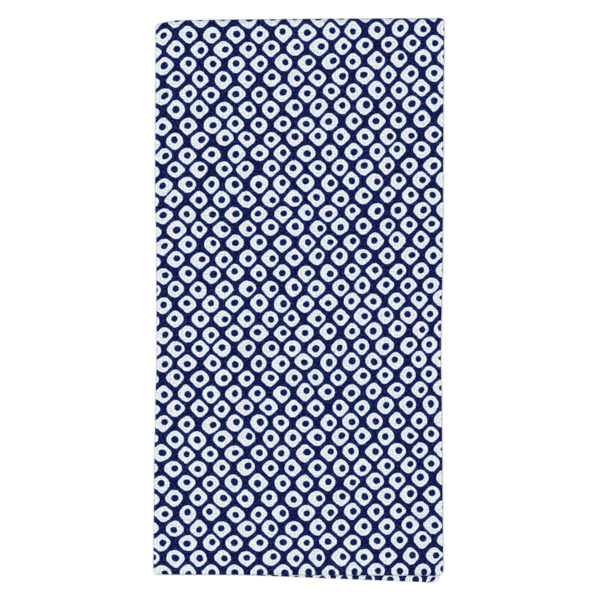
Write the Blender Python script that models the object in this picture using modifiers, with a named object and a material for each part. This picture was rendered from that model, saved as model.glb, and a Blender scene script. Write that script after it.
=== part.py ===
"""A tenugui: a flat cotton towel, folded small into an oblong packet that lies flat.

The cloth is folded in thirds across its width, which makes a strip of three plies, and the strip is
folded in half and in half again along its length. Here the three plies are pressed into one sheet,
and that sheet runs back and forth through the four layers of the packet:

    cut end > layer 0 > outer far fold > layer 3 > near fold > layer 2 > inner far fold > layer 1 > cut end

Metres. X is across the packet, +Y is its far end, where the outer fold is, and +Z is up. The origin is
at the middle of the underside.
"""

import math
from typing import NamedTuple

import bmesh
import bpy

CLOTH_WIDTH = 0.350
CLOTH_LENGTH = 0.900
PLIES = 3
LAYERS_HIGH = 4
HALF_WIDTH = CLOTH_WIDTH / PLIES / 2
PACKET_LENGTH = CLOTH_LENGTH / LAYERS_HIGH
HALF_LENGTH = PACKET_LENGTH / 2

PLY = 0.00037
SHEET = PLIES * PLY
LAYER_GAP = 0.0004
LEVEL_PITCH = SHEET + LAYER_GAP
LEVEL_0 = SHEET / 2
LEVEL_TOP = LEVEL_0 + (LAYERS_HIGH - 1) * LEVEL_PITCH

# The far end's fold line slopes a little: it lies this far past half the length, at either side. It
# is arched by a trace between them, and droops towards its left corner.
FAR_PAST_LEFT = 0.0009
FAR_PAST_RIGHT = 0.0019
FAR_ARCH = 0.0002
FAR_DROOP = 0.0014
FAR_DROOP_REACH = 0.0085
FAR_DROOP_EASE = 1.3
FAR_CORNER = 0.0012
OUTER_FOLD_DEPTH = 0.0019
INNER_FOLD_DEPTH = LEVEL_PITCH / 2

# The stack is pressed flat at mid length and at both ends, and swells by up to this much between them.
SWELL = 0.0009
SWELL_CENTRES = (0.056, -0.058)
SWELL_REACH = 0.048

RIM_ROUND = 0.0004
ACROSS_CELLS = 18
FOLD_CELLS = 8
END_STATIONS = (0.0, 0.0006, 0.0016, 0.0034, 0.0070)
MIDDLE_CELLS = 9

COTTON_COLOUR = (0.045, 0.070, 0.190, 1.0)
COTTON_ROUGHNESS = 0.9


class Side(NamedTuple):
    """How far past half the width the packet's long sides lie, at one place along it."""

    y: float
    past_left: float
    past_right: float


# From the near end to the far end. The packet leans a little, and is drawn in at mid length.
SIDES = (
    Side(y=-0.112, past_left=0.00032, past_right=-0.00005),
    Side(y=-0.070, past_left=0.00000, past_right=-0.00048),
    Side(y=-0.042, past_left=-0.00042, past_right=-0.00056),
    Side(y=-0.024, past_left=-0.00085, past_right=-0.00086),
    Side(y=0.024, past_left=-0.00084, past_right=-0.00030),
    Side(y=0.042, past_left=-0.00036, past_right=0.00000),
    Side(y=0.076, past_left=-0.00045, past_right=0.00002),
    Side(y=0.112, past_left=-0.00058, past_right=0.00038),
)


class Layer(NamedTuple):
    """How far a layer's near end lies past half the length at either side, its corners there, and
    its sides' inset."""

    near_past_left: float
    near_past_right: float
    corner_left: float
    corner_right: float
    inset_left: float
    inset_right: float


# From the floor up. The two lower layers lie askew, so that they show past the top ones at the right.
LAYERS = (
    Layer(-0.0029, 0.0012, 0.0016, 0.0030, 0.0002, 0.0010),
    Layer(-0.0026, 0.0018, 0.0016, 0.0034, 0.0006, 0.0014),
    Layer(-0.0019, -0.0012, 0.0020, 0.0026, 0.0005, 0.0003),
    Layer(-0.0017, -0.0009, 0.0020, 0.0026, 0.0000, 0.0000),
)


class Fold(NamedTuple):
    """A fold from one layer to another: which end it is at, and its reach along Y."""

    start: int
    end: int
    far: bool
    depth: float
    inside: float


# In order along the strip. inside is how far a fold stays within the packet's end line.
FOLDS = (
    Fold(start=0, end=3, far=True, depth=OUTER_FOLD_DEPTH, inside=0.0),
    Fold(start=3, end=2, far=False, depth=INNER_FOLD_DEPTH, inside=0.0),
    Fold(start=2, end=1, far=True, depth=INNER_FOLD_DEPTH, inside=SHEET + LAYER_GAP),
)


class Station(NamedTuple):
    """A place along the strip, on a layer at a share of its run, or on a fold at an angle."""

    layer: int
    share: float
    fold: int
    angle: float


def clear_scene():
    for old in list(bpy.data.objects):
        bpy.data.objects.remove(old)


def mix(a, b, share):
    return a + (b - a) * share


def smooth(share):
    return share * share * (3 - 2 * share)


def sides_at(y):
    """The left and right side's X at this place along the packet, eased from row to row."""
    y = min(max(y, SIDES[0].y), SIDES[-1].y)
    low, high = next(pair for pair in zip(SIDES, SIDES[1:]) if y <= pair[1].y)
    share = smooth((y - low.y) / (high.y - low.y))
    left = HALF_WIDTH + mix(low.past_left, high.past_left, share)
    right = HALF_WIDTH + mix(low.past_right, high.past_right, share)
    return -left, right


def corner_inset(distance, radius):
    """How far a rounded corner draws a side in, at this distance from the end line."""
    short = min(max(radius - distance, 0.0), radius)
    return radius - math.sqrt(radius**2 - short**2)


def swell(across, y):
    """How far the top layer stands above its level. The layers below it rise by their share."""
    along = sum(max(1 - ((y - centre) / SWELL_REACH) ** 2, 0.0) ** 2 for centre in SWELL_CENTRES)
    return SWELL * along * (1 - across**2)


def level(layer):
    return LEVEL_0 + layer * LEVEL_PITCH


def end_line(layer, far, across):
    """Y of the end of a layer at this place across the packet, from -1 at the left to 1 at the right."""
    share = (across + 1) / 2
    if far:
        arch = FAR_ARCH * (1 - across**2)
        drooping = max(1 - 2 * HALF_WIDTH * share / FAR_DROOP_REACH, 0.0) ** FAR_DROOP_EASE
        return HALF_LENGTH + mix(FAR_PAST_LEFT, FAR_PAST_RIGHT, share) + arch - FAR_DROOP * drooping
    row = LAYERS[layer]
    return -HALF_LENGTH - mix(row.near_past_left, row.near_past_right, share)


def fold_at(layer, far):
    """The fold that this layer runs into at one end, or None at a cut end."""
    for fold in FOLDS:
        if fold.far == far and layer in (fold.start, fold.end):
            return fold
    return None


def run_end(layer, far, across):
    """Y where the flat run of a layer stops: at its cut end, or where its fold begins to turn."""
    fold = fold_at(layer, far)
    line = end_line(fold.start if fold else layer, far, across)
    inward = -1 if far else 1
    if fold is None:
        return line
    return line + inward * (SHEET / 2 + fold.inside + fold.depth)


def run_shares():
    """Places along a layer's run, as shares of it, close together near both of its ends."""
    near = [distance / PACKET_LENGTH for distance in END_STATIONS]
    last = near[-1]
    middle = [mix(last, 1 - last, step / MIDDLE_CELLS) for step in range(1, MIDDLE_CELLS)]
    return near + middle + [1 - share for share in reversed(near)]


def stations():
    """Every place along the strip that gets a row of points, from one cut end to the other."""
    rows = []
    shares = run_shares()
    order = [FOLDS[0].start] + [fold.end for fold in FOLDS]
    for index, layer in enumerate(order):
        outward = index % 2 == 0
        rows += [Station(layer, share if outward else 1 - share, -1, 0.0) for share in shares]
        if index < len(FOLDS):
            steps = range(1, FOLD_CELLS)
            rows += [Station(layer, 0.0, index, math.pi * step / FOLD_CELLS) for step in steps]
    return rows


def place_in_section(station, across):
    """(y, z) of the sheet's middle at a station, before the stack swells."""
    if station.fold < 0:
        near = run_end(station.layer, False, across)
        far = run_end(station.layer, True, across)
        return mix(near, far, station.share), level(station.layer)
    fold = FOLDS[station.fold]
    outward = 1 if fold.far else -1
    middle = (level(fold.start) + level(fold.end)) / 2
    reach = level(fold.start) - middle
    y = run_end(fold.start, fold.far, across) + outward * fold.depth * math.sin(station.angle)
    return y, middle + reach * math.cos(station.angle)


def layer_trim(layer, y, across):
    """How far in this layer's left and right side lie at y, by its inset and its rounded corners."""
    row = LAYERS[layer]
    from_near = y - end_line(layer, False, across)
    from_far = end_line(layer, True, across) - y
    far_round = corner_inset(from_far, FAR_CORNER)
    left = row.inset_left + corner_inset(from_near, row.corner_left) + far_round
    right = row.inset_right + corner_inset(from_near, row.corner_right) + far_round
    return left, right


def trim_at(station, y, across):
    """The trim of the strip's sides at a station, passing from one layer's to the next on a fold."""
    if station.fold < 0:
        return layer_trim(station.layer, y, across)
    fold = FOLDS[station.fold]
    share = smooth(station.angle / math.pi)
    start = layer_trim(fold.start, y, across)
    end = layer_trim(fold.end, y, across)
    return mix(start[0], end[0], share), mix(start[1], end[1], share)


def folded_point(station, across):
    """A point of the sheet's middle surface, in the packet."""
    y, z = place_in_section(station, across)
    left, right = sides_at(y)
    trim_left, trim_right = trim_at(station, y, across)
    x = mix(left + trim_left, right - trim_right, (across + 1) / 2)
    rise = swell(across, y) * (z - LEVEL_0) / (LEVEL_TOP - LEVEL_0)
    return x, y, z + rise


def across_place(column):
    """A column's place across the strip, from -1 to 1, with the columns closer near both sides."""
    return math.sin(math.pi / 2 * (2 * column / ACROSS_CELLS - 1))


def folded_sheet(name):
    """A grid laid along the folds as the middle surface of the strip."""
    rows = stations()
    shape = bmesh.new()
    bmesh.ops.create_grid(shape, x_segments=ACROSS_CELLS, y_segments=len(rows) - 1, size=1.0)
    for vertex in shape.verts:
        column = round((vertex.co.x + 1) / 2 * ACROSS_CELLS)
        row = round((vertex.co.y + 1) / 2 * (len(rows) - 1))
        vertex.co = folded_point(rows[row], across_place(column))
    bmesh.ops.recalc_face_normals(shape, faces=shape.faces)
    mesh = bpy.data.meshes.new(name)
    shape.to_mesh(mesh)
    shape.free()
    mesh.shade_smooth()
    return mesh


def cotton():
    material = bpy.data.materials.new("dyed_cotton")
    material.use_nodes = True
    shader = material.node_tree.nodes["Principled BSDF"]
    shader.inputs["Base Color"].default_value = COTTON_COLOUR
    shader.inputs["Roughness"].default_value = COTTON_ROUGHNESS
    shader.inputs["Metallic"].default_value = 0.0
    return material


def give_thickness(cloth):
    """The sheet's thickness about its middle surface, with softly rounded rims."""
    solid = cloth.modifiers.new("Thickness", "SOLIDIFY")
    solid.thickness = SHEET
    solid.offset = 0.0
    solid.use_even_offset = True
    solid.use_quality_normals = True
    rim = cloth.modifiers.new("Rims", "BEVEL")
    rim.width = RIM_ROUND
    rim.segments = 2
    rim.limit_method = "ANGLE"
    rim.angle_limit = math.radians(60)
    rim.use_clamp_overlap = False


def main():
    clear_scene()
    collection = bpy.data.collections.new("tenugui_towel")
    bpy.context.scene.collection.children.link(collection)
    cloth = bpy.data.objects.new("cloth", folded_sheet("cloth"))
    collection.objects.link(cloth)
    cloth.data.materials.append(cotton())
    give_thickness(cloth)


main()
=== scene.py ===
"""A tenugui towel, folded small into an oblong packet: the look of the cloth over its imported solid.

One length of plain-weave cotton is cut flat, folded in thirds across its width into a strip of three
plies, and the strip is folded in half and in half again. Every ply is really there, with its turns at
the long sides and its folds at the two ends. The dyed spots and the threads follow the flat cloth.

Metres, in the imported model's frame: X across the packet, +Y towards its far end, +Z up.
"""

import logging
import math
from dataclasses import dataclass
from enum import Enum
from typing import Any, Iterable, Mapping, Sequence

import bpy
import numpy as np
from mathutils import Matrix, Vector


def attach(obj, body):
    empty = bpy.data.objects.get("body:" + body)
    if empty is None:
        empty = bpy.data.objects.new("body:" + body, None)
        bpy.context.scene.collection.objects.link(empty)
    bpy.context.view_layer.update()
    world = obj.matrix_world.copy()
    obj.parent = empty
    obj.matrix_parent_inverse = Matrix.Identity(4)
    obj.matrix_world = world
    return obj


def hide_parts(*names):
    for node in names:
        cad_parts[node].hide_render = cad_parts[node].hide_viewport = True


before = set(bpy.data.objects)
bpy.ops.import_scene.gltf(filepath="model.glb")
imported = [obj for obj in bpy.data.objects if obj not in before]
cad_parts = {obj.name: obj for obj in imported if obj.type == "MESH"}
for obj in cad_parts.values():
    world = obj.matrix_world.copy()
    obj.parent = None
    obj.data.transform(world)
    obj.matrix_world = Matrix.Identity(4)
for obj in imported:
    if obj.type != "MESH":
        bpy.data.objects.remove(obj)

log = logging.getLogger("tenugui")


def linear(hex_colour: str) -> tuple[float, float, float, float]:
    """Turns an sRGB hex colour to the linear values that shaders take.

    Args:
        hex_colour: Six hex digits, with or without a leading #.

    Returns:
        Linear red, green, blue and an alpha of 1.
    """
    digits = hex_colour.lstrip("#")
    parts = [int(digits[at : at + 2], 16) / 255 for at in (0, 2, 4)]
    red, green, blue = (c / 12.92 if c <= 0.04045 else ((c + 0.055) / 1.055) ** 2.4 for c in parts)
    return red, green, blue, 1.0


def mix(a: float, b: float, share: float) -> float:
    """Returns the value at this share of the way from a to b."""
    return a + (b - a) * share


def smooth(share: float) -> float:
    """Returns a share, kept from 0 to 1 and eased at both ends."""
    share = min(max(share, 0.0), 1.0)
    return share * share * (3 - 2 * share)


def add_node(
    tree: bpy.types.NodeTree,
    kind: str,
    feeds: Mapping[Any, Any] | None = None,
    out: int | str = 0,
    **settings: Any,
) -> bpy.types.NodeSocket:
    """Adds a node with its settings, its values and the links into it.

    Args:
        tree: The node tree that gets the node.
        kind: The node's type, without its ShaderNode prefix.
        feeds: For each input, by name or number, a value or another node's output.
        out: The output to return, by name or number.
        settings: The node's own properties.

    Returns:
        That output of the new node.
    """
    node = tree.nodes.new(f"ShaderNode{kind}")
    for name, value in settings.items():
        setattr(node, name, value)
    for name, value in (feeds or {}).items():
        if isinstance(value, bpy.types.NodeSocket):
            tree.links.new(value, node.inputs[name])
        else:
            node.inputs[name].default_value = value
    return node.outputs[out]


class End(Enum):
    """The two ends of the packet."""

    NEAR = -1
    FAR = 1


class Chart(Enum):
    """The parts of the bake map: the faces on top, those underneath, and all the rest."""

    TOP = 0
    UNDER = 1
    INNER = 2


@dataclass(frozen=True)
class Side:
    """How far past half the width the long sides lie, at one place along the packet."""

    y: float
    past_left: float
    past_right: float


@dataclass(frozen=True)
class Layer:
    """How far a layer's near end lies past half the length, its corners there, and its sides' inset."""

    near_past_left: float
    near_past_right: float
    corner_left: float
    corner_right: float
    inset_left: float
    inset_right: float


@dataclass(frozen=True)
class Fold:
    """A fold of the strip from one layer to another."""

    start: int
    end: int
    at: End
    depth: float
    inside: float


@dataclass(frozen=True)
class Crease:
    """A soft trough pressed across the packet, which leans by so much for each metre across."""

    y: float
    depth: float
    reach: float
    lean: float


@dataclass(frozen=True)
class Slip:
    """How far the print slips in all, and where along the cloth it begins to and over what length."""

    amount: float
    start: float
    over: float


@dataclass(frozen=True)
class Row:
    """A place along the strip: on a layer at a share of its run, or on a fold at an angle."""

    layer: int
    share: float
    fold: Fold | None
    angle: float
    flat: float


@dataclass(frozen=True)
class Column:
    """A place across the cloth: its side, how far in from it, on which ply, and on the flat cloth."""

    share: float
    inset: float
    offset: float
    flat: float
    outer: bool
    slip: float = 0.0


@dataclass(frozen=True)
class Cut:
    """The cloth as it comes off the bolt, and what the folding draws in of its width."""

    width: float = 0.350
    length: float = 0.900
    thickness: float = 0.00026
    drawn_in: float = 0.0020

    def lying_width(self) -> float:
        """Returns the width that the folded plies take up in all."""
        return self.width - self.drawn_in


@dataclass(frozen=True)
class LetterFold:
    """The fold in thirds across the cloth: two flaps tucked in behind the middle panel.

    The flaps' folds aren't quite square to the cut ends, so each flap slips a little along the strip,
    the more the further it reaches from its fold.
    """

    left_flap: float = 0.1152
    right_flap: float = 0.1154
    left_slip: float = -0.0038
    right_slip: float = -0.0024
    ply_pitch: float = 0.00037
    turn_depth: float = 0.00075
    bead: float = 0.00010
    bead_reach: float = 0.0020
    crowding: float = 0.6
    turn_cells: int = 8
    panel_cells: int = 52
    flap_cells: int = 22

    def spread(self, cells: int) -> list[float]:
        """Returns shares from 0 to 1 for this many cells, a little closer at both ends."""
        even = [step / cells for step in range(cells + 1)]
        return [mix(share, (1 - math.cos(math.pi * share)) / 2, self.crowding) for share in even]

    def turn_length(self) -> float:
        """Returns the length of cloth that a turn at a long side takes up."""
        return self.turn_depth + self.ply_pitch

    def columns(self, cut: Cut, packet_width: float) -> list[Column]:
        """Lists the columns of points from one selvedge to the other.

        Args:
            cut: The flat cloth.
            packet_width: The width of the folded strip.

        Returns:
            The columns, with their places on the flat cloth.
        """
        panel_start = self.left_flap + self.turn_length()
        right_fold = cut.lying_width() - self.right_flap
        panel_end = right_fold - self.turn_length()
        found: list[Column] = []
        for share in self.spread(self.flap_cells):
            reach = self.left_flap * (1 - share)
            inset, flat = self.turn_depth + reach, self.left_flap * share
            found.append(Column(0.0, inset, 0.0, flat, False, self.left_slip * reach))
        found += self.turn(0.0, 0.0, self.ply_pitch, self.left_flap)
        for share in self.spread(self.panel_cells):
            from_side = packet_width * min(share, 1 - share)
            bead = self.bead * math.exp(-((from_side / self.bead_reach) ** 2))
            flat = mix(panel_start, panel_end, share)
            found.append(Column(share, self.turn_depth, self.ply_pitch + bead, flat, True))
        found += self.turn(1.0, self.ply_pitch, -self.ply_pitch, panel_end)
        for share in self.spread(self.flap_cells):
            reach = self.right_flap * share
            inset, flat = self.turn_depth + reach, right_fold + reach
            found.append(Column(1.0, inset, -self.ply_pitch, flat, False, self.right_slip * reach))
        return found

    def turn(self, side: float, start: float, end: float, flat: float) -> list[Column]:
        """Lists the columns round a turn at a long side, which stands proud by its bead at the panel.

        Args:
            side: 0 at the left side, 1 at the right.
            start: The ply offset where the turn begins.
            end: The ply offset where it ends.
            flat: The place on the flat cloth where it begins.

        Returns:
            The columns between the turn's two ends.
        """
        found = []
        for step in range(1, self.turn_cells):
            share = step / self.turn_cells
            angle = math.pi * share
            towards_panel = share if end > start else 1 - share
            inset = self.turn_depth * (1 - math.sin(angle))
            offset = (start + end) / 2 + (start - end) / 2 * math.cos(angle) + self.bead * towards_panel
            found.append(Column(side, inset, offset, flat + self.turn_length() * share, True))
        return found


@dataclass(frozen=True)
class Packet:
    """The strip folded twice along its length, in four layers: its outline and its section.

    The sides and ends are as uneven as shown, and the layers below the top one wander in a little at
    their sides. A gap parts the layers, and the stack swells between the places where it is pressed.
    """

    half_width: float = 0.350 / 3 / 2
    half_length: float = 0.900 / 4 / 2
    strip: float = 0.00111
    layer_gap: float = 0.0004
    far_past_left: float = 0.0009
    far_past_right: float = 0.0019
    far_arch: float = 0.0002
    far_droop: float = 0.0014
    far_droop_reach: float = 0.0085
    far_droop_ease: float = 1.3
    far_corner: float = 0.0012
    trim_reach: float = 0.008
    swell: float = 0.0009
    swell_centres: tuple[float, float] = (0.056, -0.058)
    swell_reach: float = 0.048
    ripple: float = 0.00006
    ripple_across: float = 0.046
    ripple_along: float = 0.061
    ripple_leans: tuple[float, float] = (0.3, -0.2)
    stray: float = 0.00016
    stray_along: float = 0.037
    stray_step: float = 2.0
    stray_quicker: float = 1.3
    fold_cells: int = 12
    shown_cells: int = 84
    hidden_cells: int = 40
    end_stations: tuple[float, ...] = (0.0, 0.0005, 0.0012, 0.0022, 0.0036, 0.0055)
    sides: tuple[Side, ...] = (
        Side(y=-0.112, past_left=0.00032, past_right=0.00010),
        Side(y=-0.070, past_left=0.00000, past_right=-0.00024),
        Side(y=-0.042, past_left=-0.00052, past_right=-0.00050),
        Side(y=-0.024, past_left=-0.00098, past_right=-0.00084),
        Side(y=0.024, past_left=-0.00088, past_right=-0.00012),
        Side(y=0.042, past_left=-0.00036, past_right=0.00006),
        Side(y=0.076, past_left=-0.00052, past_right=0.00012),
        Side(y=0.112, past_left=-0.00062, past_right=0.00050),
    )
    layers: tuple[Layer, ...] = (
        Layer(-0.0029, 0.0012, 0.0016, 0.0030, 0.0002, 0.0010),
        Layer(-0.0026, 0.0020, 0.0016, 0.0034, 0.0006, 0.0014),
        Layer(-0.0016, -0.0012, 0.0016, 0.0026, 0.0005, 0.0003),
        Layer(-0.0014, -0.0009, 0.0016, 0.0026, 0.0000, 0.0000),
    )
    folds: tuple[Fold, ...] = (
        Fold(start=0, end=3, at=End.FAR, depth=0.0019, inside=0.0),
        Fold(start=3, end=2, at=End.NEAR, depth=0.000755, inside=0.0),
        Fold(start=2, end=1, at=End.FAR, depth=0.000755, inside=0.00151),
    )
    creases: tuple[Crease, ...] = (
        Crease(y=-0.0960, depth=0.00014, reach=0.0050, lean=0.015),
        Crease(y=-0.0275, depth=0.00014, reach=0.0036, lean=-0.004),
        Crease(y=0.0235, depth=0.00012, reach=0.0034, lean=0.006),
    )

    def top(self) -> int:
        """Returns the top layer's number."""
        return len(self.layers) - 1

    def level(self, layer: int) -> float:
        """Returns the height of the middle of a layer above the floor."""
        return self.strip / 2 + layer * (self.strip + self.layer_gap)

    def sides_at(self, y: float) -> tuple[float, float]:
        """Returns the left and right side's X at a place along the packet."""
        y = min(max(y, self.sides[0].y), self.sides[-1].y)
        low, high = next(pair for pair in zip(self.sides, self.sides[1:]) if y <= pair[1].y)
        share = smooth((y - low.y) / (high.y - low.y))
        left = self.half_width + mix(low.past_left, high.past_left, share)
        right = self.half_width + mix(low.past_right, high.past_right, share)
        return -left, right

    def end_line(self, layer: int, at: End, across: float) -> float:
        """Returns Y of a layer's end at a place across the packet, from -1 to 1."""
        share = (across + 1) / 2
        if at is End.NEAR:
            row = self.layers[layer]
            return -self.half_length - mix(row.near_past_left, row.near_past_right, share)
        arch = self.far_arch * (1 - across**2)
        past = mix(self.far_past_left, self.far_past_right, share)
        drooping = max(1 - 2 * self.half_width * share / self.far_droop_reach, 0.0)
        return self.half_length + past + arch - self.far_droop * drooping**self.far_droop_ease

    def fold_at(self, layer: int, at: End) -> Fold | None:
        """Returns the fold that a layer runs into at one end, or None at a cut end."""
        return next((f for f in self.folds if f.at is at and layer in (f.start, f.end)), None)

    def run_end(self, layer: int, at: End, across: float, slip: float = 0.0) -> float:
        """Finds where a layer's flat run stops, before its fold or at its cut end.

        Args:
            layer: The layer, from the floor up.
            at: Which end of it.
            across: The place across the packet, from -1 to 1.
            slip: How far this ply has slipped along the strip, which shows at a cut end.

        Returns:
            Its Y.
        """
        fold = self.fold_at(layer, at)
        if fold is None:
            along = 1 if layer == self.folds[0].start else -1
            return self.end_line(layer, at, across) + along * slip
        back = self.strip / 2 + fold.inside + fold.depth
        return self.end_line(fold.start, at, across) - at.value * back

    def corner(self, distance: float, radius: float) -> float:
        """Returns how far a rounded corner draws a side in, this far from the end line."""
        short = min(max(radius - distance, 0.0), radius)
        return radius - math.sqrt(radius**2 - short**2)

    def trim(self, layer: int, y: float, across: float) -> tuple[float, float]:
        """Returns how far in a layer's left and right side lie, by inset, wander and corners."""
        row = self.layers[layer]
        from_near = y - self.end_line(layer, End.NEAR, across)
        far = self.corner(self.end_line(layer, End.FAR, across) - y, self.far_corner)
        left = row.inset_left + self.corner(from_near, row.corner_left) + far
        right = row.inset_right + self.corner(from_near, row.corner_right) + far
        if layer == self.top():
            return left, right
        wave = 2 * math.pi * y / self.stray_along + self.stray_step * layer
        stray_left = (1 + math.sin(wave)) / 2
        stray_right = (1 + math.cos(self.stray_quicker * wave)) / 2
        return left + self.stray * stray_left, right + self.stray * stray_right

    def rise(self, across: float, y: float, z: float) -> float:
        """Returns how far the stack's swelling, ripples and creases lift a point at height z."""
        x = across * self.half_width
        along = sum(max(1 - ((y - c) / self.swell_reach) ** 2, 0.0) ** 2 for c in self.swell_centres)
        lean_across, lean_along = self.ripple_leans
        waves = math.sin(2 * math.pi * (x + lean_across * y) / self.ripple_across)
        waves *= math.sin(2 * math.pi * (y + lean_along * x) / self.ripple_along)
        pressed = 0.0
        for crease in self.creases:
            off = (y - crease.y - crease.lean * x) / crease.reach
            pressed += crease.depth * math.exp(-(off**2))
        share = max((z - self.level(0)) / (self.level(self.top()) - self.level(0)), 0.0)
        return share * (self.swell * along * (1 - across**2) + self.ripple * waves - pressed)

    def run_shares(self, length: float, cells: int) -> list[float]:
        """Returns shares along a run of this length, closer together near its two ends."""
        near = [distance / length for distance in self.end_stations]
        middle = [mix(near[-1], 1 - near[-1], step / cells) for step in range(1, cells)]
        return near + middle + [1 - share for share in reversed(near)]

    def rows(self) -> list[Row]:
        """Lists the rows of points along the strip, from one cut end to the other."""
        found: list[Row] = []
        flat = 0.0
        order = [self.folds[0].start] + [fold.end for fold in self.folds]
        for index, layer in enumerate(order):
            length = self.run_end(layer, End.FAR, 0.0) - self.run_end(layer, End.NEAR, 0.0)
            shown = layer in (0, self.top())
            shares = self.run_shares(length, self.shown_cells if shown else self.hidden_cells)
            for share in shares:
                place = share if index % 2 == 0 else 1 - share
                found.append(Row(layer, place, None, 0.0, flat + length * share))
            flat += length
            if index == len(self.folds):
                break
            fold = self.folds[index]
            reach = abs(self.level(fold.start) - self.level(fold.end)) / 2
            arc = math.pi * (reach + fold.depth) / 2
            for step in range(1, self.fold_cells):
                part = step / self.fold_cells
                found.append(Row(layer, 0.0, fold, math.pi * part, flat + arc * part))
            flat += arc
        return found

    def section(self, row: Row, across: float, slip: float) -> tuple[float, float, float, float]:
        """Finds the strip's middle and its outward direction at a row.

        Args:
            row: The place along the strip.
            across: The place across it, from -1 to 1.
            slip: How far this ply has slipped along the strip.

        Returns:
            Y and Z of the strip's middle, then Y and Z of its unit normal, which points to the side
            that the middle panel is on.
        """
        if row.fold is None:
            near = self.run_end(row.layer, End.NEAR, across, slip)
            far = self.run_end(row.layer, End.FAR, across)
            up = 1.0 if row.layer % 2 else -1.0
            return mix(near, far, row.share), self.level(row.layer), 0.0, up
        fold = row.fold
        out = fold.at.value
        middle = (self.level(fold.start) + self.level(fold.end)) / 2
        reach = self.level(fold.start) - middle
        y = self.run_end(fold.start, fold.at, across) + out * fold.depth * math.sin(row.angle)
        z = middle + reach * math.cos(row.angle)
        normal = Vector((out * math.sin(row.angle) / fold.depth, math.cos(row.angle) / reach))
        normal.normalize()
        if fold.inside:
            normal.negate()
        return y, z, normal.x, normal.y


@dataclass(frozen=True)
class Wander:
    """How far the print's rows or columns stray from straight lines, as smooth waves and slips."""

    start: float
    lean: float
    over_panel: float
    over_packet: float
    sway: float
    fan: float
    slip: Slip
    panel: float = 0.1167
    packet: float = 0.225

    def at(self, other: float, x: float, y: float) -> float:
        """Finds how far the print strays.

        Args:
            other: The place along the row or column.
            x: Across the cloth from the middle of its middle panel.
            y: Along the cloth from the middle of the packet's top, towards the far end.

        Returns:
            The distance.
        """
        across, along = math.pi * x / self.panel, math.pi * y / self.packet
        found = self.start + self.lean * other + self.over_panel * math.cos(across)
        found += self.over_packet * math.cos(along) + self.sway * math.sin(along)
        found += self.fan * min(max(x, -self.panel / 2), self.panel / 2) * math.sin(along)
        return found + self.slip.amount * smooth((self.slip.start - y) / self.slip.over)


@dataclass(frozen=True)
class Print:
    """Where the dyed spots lie on the cloth: a staggered lattice, a little off the thread."""

    pitch_across: float = 0.009515
    pitch_along: float = 0.012326
    across: Wander = Wander(
        start=-0.00217,
        lean=0.0094,
        over_panel=-0.00095,
        over_packet=0.00063,
        sway=-0.00086,
        fan=-0.0018,
        slip=Slip(amount=0.00319, start=-0.230, over=0.115),
    )
    along: Wander = Wander(
        start=0.00039,
        lean=-0.0179,
        over_panel=0.00067,
        over_packet=0.00006,
        sway=0.00141,
        fan=0.0,
        slip=Slip(amount=-0.00035, start=-0.090, over=0.024),
    )

    def place(self, x: float, y: float) -> tuple[float, float]:
        """Finds the place of a point of the cloth in the lattice.

        Args:
            x: Across the cloth from the middle of its middle panel.
            y: Along the cloth from the middle of the packet's top, towards the far end.

        Returns:
            The lattice place in pitches, whole numbers being one set of spots and halves the other.
        """
        i = (x + self.across.at(y, x, y)) / self.pitch_across
        j = (y + self.along.at(x, x, y)) / self.pitch_along
        return i, j


@dataclass(frozen=True)
class Mark:
    """A form in each spot: its chance seed, its middle and size, and how far both vary in all."""

    seed: float
    middle: tuple[float, float]
    shift: tuple[float, float]
    size: float
    vary: float


@dataclass(frozen=True)
class Drift:
    """How far the dye strays to either side, and over what length."""

    amount: float
    size: float


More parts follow.
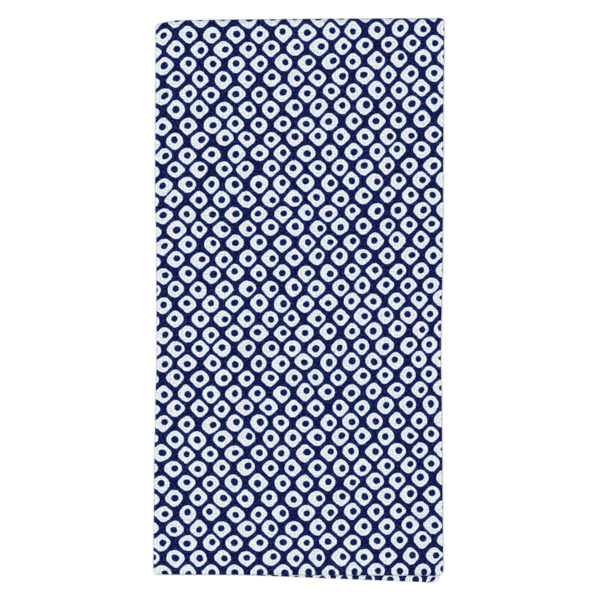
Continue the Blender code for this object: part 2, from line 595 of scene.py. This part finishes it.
@dataclass(frozen=True)
class DyedCotton:
    """Plain-weave cotton, its spots kept white by paste and the rest dyed indigo right through.

    It gives the eye a dry, matt face, crisp but slightly feathered spot edges, spots that each differ
    a little, and a flecked dye: bluer in the narrow bars, deeper and a little purple where the ground
    is widest, dark at the dots' rims and fresher in their middles. Real threads lie about 0.49 mm
    apart. They are drawn 0.62 mm apart, so that the weave still shows as grain at the render's size.
    """

    undyed: str = "#e2e3e4"
    undyed_warm: str = "#dad8d4"
    undyed_cool: str = "#e3e7eb"
    undyed_rim: str = "#e6ecf4"
    bleed: str = "#d6e5fc"
    edge_dye: str = "#00063c"
    bar_dye: str = "#051e62"
    ground_dye: str = "#08053e"
    dot_dye: str = "#021250"
    worn_dye: str = "#304684"
    square: Mark = Mark(3.0, (0.0, 0.0), (0.00050, 0.00050), 0.00310, 0.00026)
    circle: Mark = Mark(17.0, (0.0, -0.00014), (0.00062, 0.00062), 0.00346, 0.00026)
    dot: Mark = Mark(41.0, (0.00028, 0.00004), (0.00125, 0.00085), 0.00142, 0.00016)
    melt: float = 0.00060
    drifts: tuple[Drift, ...] = (Drift(0.0011, 0.015), Drift(0.00022, 0.0020), Drift(0.00022, 0.0005))
    edge_soft: float = 0.00011
    edge_width: float = 0.00024
    ground_from: float = 0.00100
    bar_width: float = 0.0008
    bar_fade: float = 0.0006
    dot_inside: tuple[float, float] = (-0.0005, -0.0010)
    dot_rim: tuple[float, float] = (0.00025, 0.0008)
    rim_width: float = 0.0008
    rim_full: float = 0.0003
    bleed_width: float = 0.00035
    tint_size: float = 0.0009
    tint_range: tuple[float, float] = (0.38, 0.62)
    fleck_size: float = 0.0008
    fleck_range: tuple[float, float] = (0.46, 0.74)
    fleck_share: float = 0.68
    grain_size: float = 0.0008
    grain_tone: tuple[float, float] = (0.62, 1.38)
    thread: float = 0.00062
    thread_wander: float = 0.00025
    # Painted shade and highlight: how far the colour darkens between the threads and brightens on their
    # crowns, by the weave's height.
    painted_thread_shade: tuple[float, float] = (0.70, 1.12)
    thread_rough: tuple[float, float] = (0.96, 0.84)
    thread_flat: float = 0.4
    yarn_tone: tuple[float, float] = (0.80, 1.20)
    yarn_even: float = 0.03
    yarn_scale: float = 0.9
    wander_size: float = 0.006
    fuzz_size: float = 0.0004
    fuzz_share: float = 0.35
    weave_depth: float = 0.00009
    weave_strength: float = 0.55

    def make(self, printed: Print) -> bpy.types.Material:
        """Builds the material.

        Args:
            printed: The lattice that the piece's print map follows.

        Returns:
            The material, which reads the piece's thread and print maps.
        """
        material = bpy.data.materials.new("indigo_dyed_plain_weave_cotton")
        material.use_nodes = True
        tree = material.node_tree
        shader = tree.nodes["Principled BSDF"]
        threads = add_node(tree, "UVMap", uv_map=Tenugui.thread_map)
        weave, yarn = self.weave(tree, threads)
        signed, outline, farther = self.print_distances(tree, threads, printed)
        dyed = self.dye_colour(tree, threads, signed, outline, farther)
        colour = self.cloth_colour(tree, threads, signed, dyed, weave, yarn)
        fine = {"Vector": threads, "Scale": 1 / self.fuzz_size, "Detail": 2.0}
        fuzz = add_node(tree, "TexNoise", fine)
        rough = add_node(tree, "MapRange", {0: weave, 3: self.thread_rough[0], 4: self.thread_rough[1]})
        fuzzy = {0: fuzz, 1: self.fuzz_share, 2: weave}
        height = add_node(tree, "Math", fuzzy, operation="MULTIPLY_ADD")
        relief = {"Height": height, "Strength": self.weave_strength, "Distance": self.weave_depth}
        bump = add_node(tree, "Bump", relief)
        tree.links.new(colour, shader.inputs["Base Color"])
        tree.links.new(bump, shader.inputs["Normal"])
        tree.links.new(rough, shader.inputs["Roughness"])
        shader.inputs["IOR"].default_value = 1.46
        shader.inputs["Specular IOR Level"].default_value = 0.05
        shader.inputs["Sheen Weight"].default_value = 0.01
        shader.inputs["Sheen Roughness"].default_value = 0.6
        return material

    def print_distances(
        self, tree: bpy.types.NodeTree, threads: bpy.types.NodeSocket, printed: Print
    ) -> tuple[bpy.types.NodeSocket, bpy.types.NodeSocket, bpy.types.NodeSocket]:
        """Builds the distances to the nearest white and to the outlines of both sets' spots.

        Args:
            tree: The material's node tree.
            threads: The place on the flat cloth.
            printed: The lattice's sizes.

        Returns:
            Three distances in metres: to the nearest white, above 0 in all dye, then to the outline of
            the nearer set's spot and to that of the farther set's spot, above 0 outside them.
        """
        lattice = add_node(tree, "UVMap", uv_map=Tenugui.print_map)
        drift: Any = (0.0, 0.0, 0.0)
        for row in self.drifts:
            coarse = {"Vector": threads, "Scale": 1 / row.size, "Detail": 1.0}
            noise = add_node(tree, "TexNoise", coarse, "Color")
            even = add_node(tree, "VectorMath", {0: noise, 1: (0.5, 0.5, 0.5)}, operation="SUBTRACT")
            strayed = {0: even, 1: (2 * row.amount, 2 * row.amount, 0.0), 2: drift}
            drift = add_node(tree, "VectorMath", strayed, operation="MULTIPLY_ADD")
        sets = [self.spot(tree, lattice, drift, half, printed) for half in (0.0, 0.5)]
        whites, outlines = zip(*sets)
        white = add_node(tree, "Math", {0: whites[0], 1: whites[1]}, operation="MINIMUM")
        nearer = add_node(tree, "Math", {0: outlines[0], 1: outlines[1]}, operation="MINIMUM")
        farther = add_node(tree, "Math", {0: outlines[0], 1: outlines[1]}, operation="MAXIMUM")
        return white, nearer, farther

    def spot(
        self,
        tree: bpy.types.NodeTree,
        lattice: bpy.types.NodeSocket,
        drift: bpy.types.NodeSocket,
        half: float,
        printed: Print,
    ) -> tuple[bpy.types.NodeSocket, bpy.types.NodeSocket]:
        """Builds one set of spots of the staggered lattice.

        A spot is a square on its corner, whose corners are cut round by a circle a little off its
        middle, with a dot in it. Chance shifts and sizes each square, circle and dot.

        Args:
            tree: The material's node tree.
            lattice: The print map.
            drift: How far the dye strays at each place.
            half: 0 for the set at whole numbers, 0.5 for the set between them.
            printed: The lattice's sizes.

        Returns:
            The distances to this set's white and to its spots' outlines, below 0 inside.
        """
        to_middle = (0.5 - half, 0.5 - half, 0)
        moved = add_node(tree, "VectorMath", {0: lattice, 1: to_middle}, operation="ADD")
        cell = add_node(tree, "VectorMath", {0: moved}, operation="FLOOR")
        middle = add_node(tree, "VectorMath", {0: cell, 1: (half, half, 0)}, operation="ADD")
        apart = add_node(tree, "VectorMath", {0: lattice, 1: middle}, operation="SUBTRACT")
        pitch = (printed.pitch_across, printed.pitch_along, 0)
        local = add_node(tree, "VectorMath", {0: apart, 1: pitch, 2: drift}, operation="MULTIPLY_ADD")
        offsets, sizes = [], []
        for mark in (self.square, self.circle, self.dot):
            seed = (0.25, 0.25, mark.seed)
            seeded = add_node(tree, "VectorMath", {0: middle, 1: seed}, operation="ADD")
            chance = add_node(tree, "TexWhiteNoise", {0: seeded}, "Color", noise_dimensions="3D")
            lowest = [place - shift / 2 for place, shift in zip(mark.middle, mark.shift)]
            placed = {0: chance, 1: (*mark.shift, 0), 2: (*lowest, 0)}
            offsets.append(add_node(tree, "VectorMath", placed, operation="MULTIPLY_ADD"))
            third = add_node(tree, "SeparateColor", {0: chance}, "Blue")
            ends = (mark.size - mark.vary / 2, mark.size + mark.vary / 2)
            sizes.append(add_node(tree, "MapRange", {0: third, 3: ends[0], 4: ends[1]}))
        from_spot = add_node(tree, "VectorMath", {0: local, 1: offsets[0]}, operation="SUBTRACT")
        folded = add_node(tree, "VectorMath", {0: from_spot}, operation="ABSOLUTE")
        slant = (math.sqrt(0.5), math.sqrt(0.5), 0)
        flat = add_node(tree, "VectorMath", {0: folded, 1: slant}, "Value", operation="DOT_PRODUCT")
        by_flat = add_node(tree, "Math", {0: flat, 1: sizes[0]}, operation="SUBTRACT")
        from_round = add_node(tree, "VectorMath", {0: from_spot, 1: offsets[1]}, operation="SUBTRACT")
        radius = add_node(tree, "VectorMath", {0: from_round}, "Value", operation="LENGTH")
        by_round = add_node(tree, "Math", {0: radius, 1: sizes[1]}, operation="SUBTRACT")
        both = {0: by_flat, 1: by_round, 2: self.melt}
        outline = add_node(tree, "Math", both, operation="SMOOTH_MAX")
        from_dot = add_node(tree, "VectorMath", {0: from_spot, 1: offsets[2]}, operation="SUBTRACT")
        dot_radius = add_node(tree, "VectorMath", {0: from_dot}, "Value", operation="LENGTH")
        in_dot = add_node(tree, "Math", {0: sizes[2], 1: dot_radius}, operation="SUBTRACT")
        white = add_node(tree, "Math", {0: outline, 1: in_dot}, operation="MAXIMUM")
        return white, outline

    def dye_colour(
        self,
        tree: bpy.types.NodeTree,
        threads: bpy.types.NodeSocket,
        signed: bpy.types.NodeSocket,
        outline: bpy.types.NodeSocket,
        farther: bpy.types.NodeSocket,
    ) -> bpy.types.NodeSocket:
        """Builds the dye's colour, by how far from the white it lies, with its flecks.

        Args:
            tree: The material's node tree.
            threads: The place on the flat cloth.
            signed: The distance to the nearest white.
            outline: The distance to the nearest spot's outline.
            farther: The distance to the other set's nearest outline, which is short only in a bar.

        Returns:
            The colour.
        """
        depth = add_node(tree, "MapRange", {0: signed, 1: self.edge_width, 2: self.ground_from})
        dyes = {0: depth, 6: linear(self.edge_dye), 7: linear(self.ground_dye)}
        ground = add_node(tree, "Mix", dyes, 2, data_type="RGBA")
        reach = {0: farther, 1: self.bar_width + self.bar_fade, 2: self.bar_width}
        in_bar = add_node(tree, "MapRange", reach, interpolation_type="SMOOTHSTEP")
        barred = add_node(tree, "Mix", {0: in_bar, 6: ground, 7: linear(self.bar_dye)}, 2, data_type="RGBA")
        inside = {0: outline, 1: self.dot_inside[0], 2: self.dot_inside[1]}
        in_spot = add_node(tree, "MapRange", inside)
        in_dot = add_node(tree, "MapRange", {0: signed, 1: self.dot_rim[0], 2: self.dot_rim[1]})
        dotted = add_node(tree, "Math", {0: in_spot, 1: in_dot}, operation="MULTIPLY")
        deep = add_node(tree, "Mix", {0: dotted, 6: barred, 7: linear(self.dot_dye)}, 2, data_type="RGBA")
        flecked = {"Vector": threads, "Scale": 1 / self.fleck_size, "Detail": 2.0}
        fleck = add_node(tree, "TexNoise", flecked)
        worn = {0: fleck, 1: self.fleck_range[0], 2: self.fleck_range[1], 4: self.fleck_share}
        wear = add_node(tree, "MapRange", worn)
        return add_node(tree, "Mix", {0: wear, 6: deep, 7: linear(self.worn_dye)}, 2, data_type="RGBA")

    def cloth_colour(
        self,
        tree: bpy.types.NodeTree,
        threads: bpy.types.NodeSocket,
        signed: bpy.types.NodeSocket,
        dyed: bpy.types.NodeSocket,
        weave: bpy.types.NodeSocket,
        yarn: bpy.types.NodeSocket,
    ) -> bpy.types.NodeSocket:
        """Builds the cloth's colour: the undyed white, the dye over it, and painted shade between the
        threads with a painted highlight on their crowns.

        Args:
            tree: The material's node tree.
            threads: The place on the flat cloth.
            signed: The distance to the nearest white.
            dyed: The dye's colour.
            weave: The height of the weave.
            yarn: The yarn's own tone.

        Returns:
            The colour.
        """
        tinted = {"Vector": threads, "Scale": 1 / self.tint_size, "Detail": 2.0}
        tint = add_node(tree, "TexNoise", tinted)
        white = add_node(tree, "ValToRGB", {0: tint})
        ramp = white.node.color_ramp
        for element, place in zip(ramp.elements, self.tint_range):
            element.position = place
        ramp.elements[0].color = linear(self.undyed_cool)
        ramp.elements[1].color = linear(self.undyed_warm)
        ramp.elements.new(0.5).color = linear(self.undyed)
        rim = add_node(tree, "MapRange", {0: signed, 1: -self.rim_width, 2: -self.rim_full})
        pale = add_node(tree, "Mix", {0: rim, 6: white, 7: linear(self.undyed_rim)}, 2, data_type="RGBA")
        seep = add_node(tree, "MapRange", {0: signed, 1: -self.bleed_width, 2: 0.0})
        tinged = add_node(tree, "Mix", {0: seep, 6: pale, 7: linear(self.bleed)}, 2, data_type="RGBA")
        soft = {0: signed, 1: -self.edge_soft, 2: self.edge_soft}
        share = add_node(tree, "MapRange", soft, interpolation_type="SMOOTHSTEP")
        cloth = add_node(tree, "Mix", {0: share, 6: tinged, 7: dyed}, 2, data_type="RGBA")
        # Painted shade: the colour darkens between the threads and brightens on their crowns, by the
        # weave's height, then takes the yarns' own tone and grain.
        shade = add_node(tree, "MapRange", {0: weave, 3: self.painted_thread_shade[0], 4: self.painted_thread_shade[1]})
        tone = add_node(tree, "MapRange", {0: yarn, 3: self.yarn_tone[0], 4: self.yarn_tone[1]})
        grained = {"Vector": threads, "Scale": 1 / self.grain_size, "Detail": 2.0}
        grain = add_node(tree, "TexNoise", grained)
        both = add_node(tree, "Math", {0: shade, 1: tone}, operation="MULTIPLY")
        coarse = add_node(tree, "MapRange", {0: grain, 3: self.grain_tone[0], 4: self.grain_tone[1]})
        whole = add_node(tree, "Math", {0: both, 1: coarse}, operation="MULTIPLY")
        return add_node(tree, "VectorMath", {0: cloth, "Scale": whole}, operation="SCALE")

    def weave(
        self, tree: bpy.types.NodeTree, threads: bpy.types.NodeSocket
    ) -> tuple[bpy.types.NodeSocket, bpy.types.NodeSocket]:
        """Builds a plain weave, one thread over and one under, with yarns that wander and vary.

        Args:
            tree: The material's node tree.
            threads: The place on the flat cloth.

        Returns:
            The height of the weave and the yarn's own tone, both from 0 to 1.
        """
        noise = {"Vector": threads, "Scale": 1 / self.wander_size, "Detail": 2.0}
        wander = add_node(tree, "TexNoise", noise, "Color")
        evened = add_node(tree, "VectorMath", {0: wander, 1: (0.5, 0.5, 0.5)}, operation="SUBTRACT")
        off = {0: evened, 1: (2 * self.thread_wander, 2 * self.thread_wander, 0), 2: threads}
        strayed = add_node(tree, "VectorMath", off, operation="MULTIPLY_ADD")
        count = add_node(tree, "VectorMath", {0: strayed, "Scale": 1 / self.thread}, operation="SCALE")
        over = add_node(tree, "TexChecker", {"Vector": count, "Scale": 1.0}, "Fac")
        waves = add_node(tree, "VectorMath", {0: count, "Scale": math.pi}, operation="SCALE")
        sines = add_node(tree, "VectorMath", {0: waves}, operation="SINE")
        sizes = add_node(tree, "VectorMath", {0: sines}, operation="ABSOLUTE")
        crowns, tones = [], []
        even = self.yarn_even
        for narrow, long, stretch in (("X", "Y", (1.0, even, 1.0)), ("Y", "X", (even, 1.0, 1.0))):
            side = add_node(tree, "SeparateXYZ", {0: sizes}, narrow)
            length = add_node(tree, "SeparateXYZ", {0: sizes}, long)
            crown = add_node(tree, "Math", {0: length, 1: self.thread_flat}, operation="POWER")
            crowns.append(add_node(tree, "Math", {0: side, 1: crown}, operation="MULTIPLY"))
            along = add_node(tree, "VectorMath", {0: count, 1: stretch}, operation="MULTIPLY")
            slow = {"Vector": along, "Scale": self.yarn_scale, "Detail": 1.0}
            tones.append(add_node(tree, "TexNoise", slow))
        height = add_node(tree, "Mix", {0: over, 2: crowns[0], 3: crowns[1]}, data_type="FLOAT")
        yarn = add_node(tree, "Mix", {0: over, 2: tones[0], 3: tones[1]}, data_type="FLOAT")
        return height, yarn


@dataclass(frozen=True)
class PalePaper:
    """Uncoated card, smooth from the mill. It gives the eye an even pale ground with no glare."""

    colour: str = "#fcfcfc"
    roughness: float = 0.9

    def make(self) -> bpy.types.Material:
        """Builds the material and returns it."""
        material = bpy.data.materials.new("pale_uncoated_card")
        material.use_nodes = True
        shader = material.node_tree.nodes["Principled BSDF"]
        shader.inputs["Base Color"].default_value = linear(self.colour)
        shader.inputs["Roughness"].default_value = self.roughness
        return material


@dataclass(frozen=True)
class Tenugui:
    """The folded cloth: cut flat, folded, given its thickness and its maps, and dressed."""

    cut: Cut = Cut()
    letter: LetterFold = LetterFold()
    packet: Packet = Packet()
    printed: Print = Print()
    cotton: DyedCotton = DyedCotton()
    node = "cloth"
    thread_map = "Threads"
    print_map = "Print"
    bake_map = "OFBake"
    bake_gap = 0.004
    bake_rim = 0.0015
    bake_strips = ((Chart.TOP, 0.0, 0.552), (Chart.UNDER, 0.552, 0.804), (Chart.INNER, 0.804, 1.0))
    smooth_below = math.radians(50)

    def build(self) -> bpy.types.Object:
        """Makes the whole cloth and returns its object."""
        columns = self.letter.columns(self.cut, 2 * self.packet.half_width)
        rows = self.packet.rows()
        cloth, places = self.cut_flat(rows, columns)
        self.fold(cloth, places, rows, columns)
        self.thicken(cloth)
        self.lay_maps(cloth, places, rows, columns)
        cloth.data.materials.append(self.cotton.make(self.printed))
        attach(cloth, "root")
        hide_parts(self.node)
        faces = len(cloth.data.polygons)
        log.info("cloth: %d rows by %d columns, %d faces", len(rows), len(columns), faces)
        return cloth

    def cut_flat(
        self, rows: Sequence[Row], columns: Sequence[Column]
    ) -> tuple[bpy.types.Object, np.ndarray]:
        """Adds the flat cloth as a grid.

        Args:
            rows: The rows of points along it.
            columns: The columns across it.

        Returns:
            The object, and the row and column of each of its points.
        """
        bpy.ops.object.select_all(action="DESELECT")
        bpy.ops.mesh.primitive_grid_add(
            x_subdivisions=len(columns) - 1, y_subdivisions=len(rows) - 1, size=2.0
        )
        cloth = bpy.context.object
        cloth.name = cloth.data.name = "folded_cloth"
        points = np.empty(3 * len(cloth.data.vertices))
        cloth.data.vertices.foreach_get("co", points)
        shares = (points.reshape(-1, 3)[:, :2] + 1) / 2
        across = np.rint(shares[:, 0] * (len(columns) - 1)).astype(int)
        along = np.rint(shares[:, 1] * (len(rows) - 1)).astype(int)
        return cloth, np.stack([along, across], axis=1)

    def fold(
        self, cloth: bpy.types.Object, places: np.ndarray, rows: Sequence[Row], columns: Sequence[Column]
    ) -> None:
        """Moves the points of the flat cloth to their places in the packet.

        Args:
            cloth: The flat cloth.
            places: The row and column of each of its points.
            rows: The rows of points.
            columns: The columns of points.
        """
        folded = [self.folded_point(rows[row], columns[column]) for row, column in places]
        cloth.data.vertices.foreach_set("co", np.array(folded).ravel())
        cloth.data.update()

    def folded_point(self, row: Row, column: Column) -> tuple[float, float, float]:
        """Finds a point of the cloth's middle surface in the packet.

        Args:
            row: Its place along the strip.
            column: Its place across the cloth.

        Returns:
            The point.
        """
        packet = self.packet
        in_share = column.inset / (2 * packet.half_width)
        across = 2 * mix(in_share, 1 - in_share, column.share) - 1
        y, z, normal_y, normal_z = packet.section(row, across, column.slip)
        y += normal_y * column.offset
        z += normal_z * column.offset
        left, right = packet.sides_at(y)
        if row.fold is None:
            trim_left, trim_right = packet.trim(row.layer, y, across)
        else:
            turned = smooth(row.angle / math.pi)
            first = packet.trim(row.fold.start, y, across)
            last = packet.trim(row.fold.end, y, across)
            trim_left, trim_right = (mix(a, b, turned) for a, b in zip(first, last))
        x = mix(left, right, (across + 1) / 2)
        by_left, by_right = (smooth(1 - gap / packet.trim_reach) for gap in (x - left, right - x))
        x += trim_left * by_left - trim_right * by_right
        z += packet.rise(across, y, z)
        return x, y, max(z, self.cut.thickness / 2)

    def thicken(self, cloth: bpy.types.Object) -> None:
        """Gives the cloth its thickness about its middle surface, with a narrow face along its rims."""
        bpy.ops.object.select_all(action="DESELECT")
        cloth.select_set(True)
        bpy.context.view_layer.objects.active = cloth
        bpy.ops.object.mode_set(mode="EDIT")
        bpy.ops.mesh.select_all(action="SELECT")
        bpy.ops.mesh.normals_make_consistent(inside=False)
        bpy.ops.object.mode_set(mode="OBJECT")
        solid = cloth.modifiers.new("Thickness", "SOLIDIFY")
        solid.thickness = self.cut.thickness
        solid.offset = 0.0
        solid.use_quality_normals = True
        bpy.ops.object.modifier_apply(modifier=solid.name)
        bpy.ops.object.shade_smooth_by_angle(angle=self.smooth_below)

    def lay_maps(
        self, cloth: bpy.types.Object, places: np.ndarray, rows: Sequence[Row], columns: Sequence[Column]
    ) -> None:
        """Gives the cloth its three maps: its threads, its print, and where its faces bake.

        Args:
            cloth: The cloth with its thickness, whose points are those of the sheet, twice over.
            places: The row and column of each point of the sheet.
            rows: The rows of points.
            columns: The columns of points.
        """
        mesh = cloth.data
        corners = np.empty(len(mesh.loops), int)
        mesh.loops.foreach_get("vertex_index", corners)
        row, column = places[corners % len(places)].T
        along = np.array([r.flat for r in rows])[row]
        across = np.array([c.flat for c in columns])[column]
        threads = np.stack([across, along], axis=1)
        middle = (self.letter.left_flap + self.cut.lying_width() - self.letter.right_flap) / 2
        top = self.packet.top()
        top_start = next(r.flat for r in rows if r.layer == top and r.fold is None)
        top_y = self.packet.run_end(top, End.FAR, 0.0)
        lattice = [self.printed.place(a - middle, top_y - (b - top_start)) for a, b in threads]
        outer = np.array([c.outer for c in columns])[column]
        on_layers = [(r.fold.start, r.fold.end) if r.fold else (r.layer,) for r in rows]
        on_top = np.array([top in layers for layers in on_layers])[row]
        under = np.array([r.layer == 0 for r in rows])[row]
        baked = self.bake_places(mesh, threads, outer & on_top, outer & under, corners >= len(places))
        maps = {self.thread_map: threads, self.print_map: np.array(lattice), self.bake_map: baked}
        for name, spots in maps.items():
            kept = mesh.uv_layers.get(name) or mesh.uv_layers.new(name=name)
            kept.data.foreach_set("uv", np.asarray(spots, np.float32).ravel())
        for unused in [m for m in mesh.uv_layers if m.name not in maps]:
            mesh.uv_layers.remove(unused)

    def bake_places(
        self,
        mesh: bpy.types.Mesh,
        threads: np.ndarray,
        top: np.ndarray,
        under: np.ndarray,
        copied: np.ndarray,
    ) -> np.ndarray:
        """Lays each face's corners on a square map, which gives the faces that show the most room.

        Args:
            mesh: The cloth's mesh.
            threads: Each corner's place on the flat cloth.
            top: True for the corners on the packet's top.
            under: True for those on its underside.
            copied: True for those on the sheet's second face.

        Returns:
            Each corner's place on the map.
        """
        starts = np.empty(len(mesh.polygons), int)
        totals = np.empty(len(mesh.polygons), int)
        mesh.polygons.foreach_get("loop_start", starts)
        mesh.polygons.foreach_get("loop_total", totals)
        chart = np.full(len(starts), Chart.INNER.value)
        chart[np.logical_and.reduceat(under, starts)] = Chart.UNDER.value
        chart[np.logical_and.reduceat(top, starts)] = Chart.TOP.value
        corner_chart = np.repeat(chart, totals)
        spots = np.zeros_like(threads)
        gap = self.bake_gap
        for part, low, high in self.bake_strips:
            mine = corner_chart == part.value
            found = threads[mine]
            shares = (found - found.min(axis=0)) / np.ptp(found, axis=0)
            spots[mine, 0] = mix(low + gap, high - gap, shares[:, 0])
            spots[mine, 1] = mix(gap, 1 - gap, shares[:, 1])
        all_copied = np.repeat(np.logical_and.reduceat(copied, starts), totals)
        rim = copied & ~all_copied
        spots[rim] += self.bake_rim * np.sign(spots[rim] - 0.5)
        return spots


@dataclass(frozen=True)
class Studio:
    """The floor, the soft light and the camera straight above, as in the photo."""

    pixels: int = 600
    pixel: float = 0.0004045
    look_at: tuple[float, float] = (0.00057, 0.00012)
    lens: float = 300.0
    sensor: float = 36.0
    top: float = 0.0065
    floor_size: float = 6.0
    light_at: tuple[float, float, float] = (-0.04, 0.02, 2.3)
    light_size: float = 0.9
    light_power: float = 51.5
    sky: float = 0.20
    paper: PalePaper = PalePaper()

    def build(self) -> None:
        """Adds the floor, the light and the camera."""
        self.floor()
        self.light()
        self.camera()
        log.info("studio: floor, light and camera")

    def floor(self) -> None:
        """Adds the pale floor."""
        bpy.ops.object.select_all(action="DESELECT")
        bpy.ops.mesh.primitive_plane_add(size=self.floor_size)
        floor = bpy.context.object
        floor.name = floor.data.name = "floor"
        floor.data.materials.append(self.paper.make())

    def light(self) -> None:
        """Adds one large soft light above and an even sky."""
        lamp = bpy.data.lights.new("softbox", "AREA")
        lamp.shape = "DISK"
        lamp.size = self.light_size
        lamp.energy = self.light_power
        holder = bpy.data.objects.new("softbox", lamp)
        holder.location = self.light_at
        holder.rotation_euler = (-holder.location).to_track_quat("-Z", "Y").to_euler()
        bpy.context.scene.collection.objects.link(holder)
        world = bpy.data.worlds.new("even_sky")
        world.use_nodes = True
        background = world.node_tree.nodes["Background"]
        background.inputs["Color"].default_value = (1.0, 1.0, 1.0, 1.0)
        background.inputs["Strength"].default_value = self.sky
        bpy.context.scene.world = world

    def camera(self) -> None:
        """Adds the camera, straight above, with the photo's framing."""
        lens = bpy.data.cameras.new("camera")
        lens.lens = self.lens
        lens.sensor_width = self.sensor
        holder = bpy.data.objects.new("camera", lens)
        distance = self.pixels * self.pixel * self.lens / self.sensor
        holder.location = (*self.look_at, self.top + distance)
        bpy.context.scene.collection.objects.link(holder)
        bpy.context.scene.camera = holder
        bpy.context.scene.view_settings.view_transform = "Standard"


def main() -> None:
    """Builds the cloth and the studio."""
    logging.basicConfig(level=logging.INFO, format="%(name)s: %(message)s")
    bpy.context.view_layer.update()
    Tenugui().build()
    Studio().build()


if __name__ == "__main__":
    main()
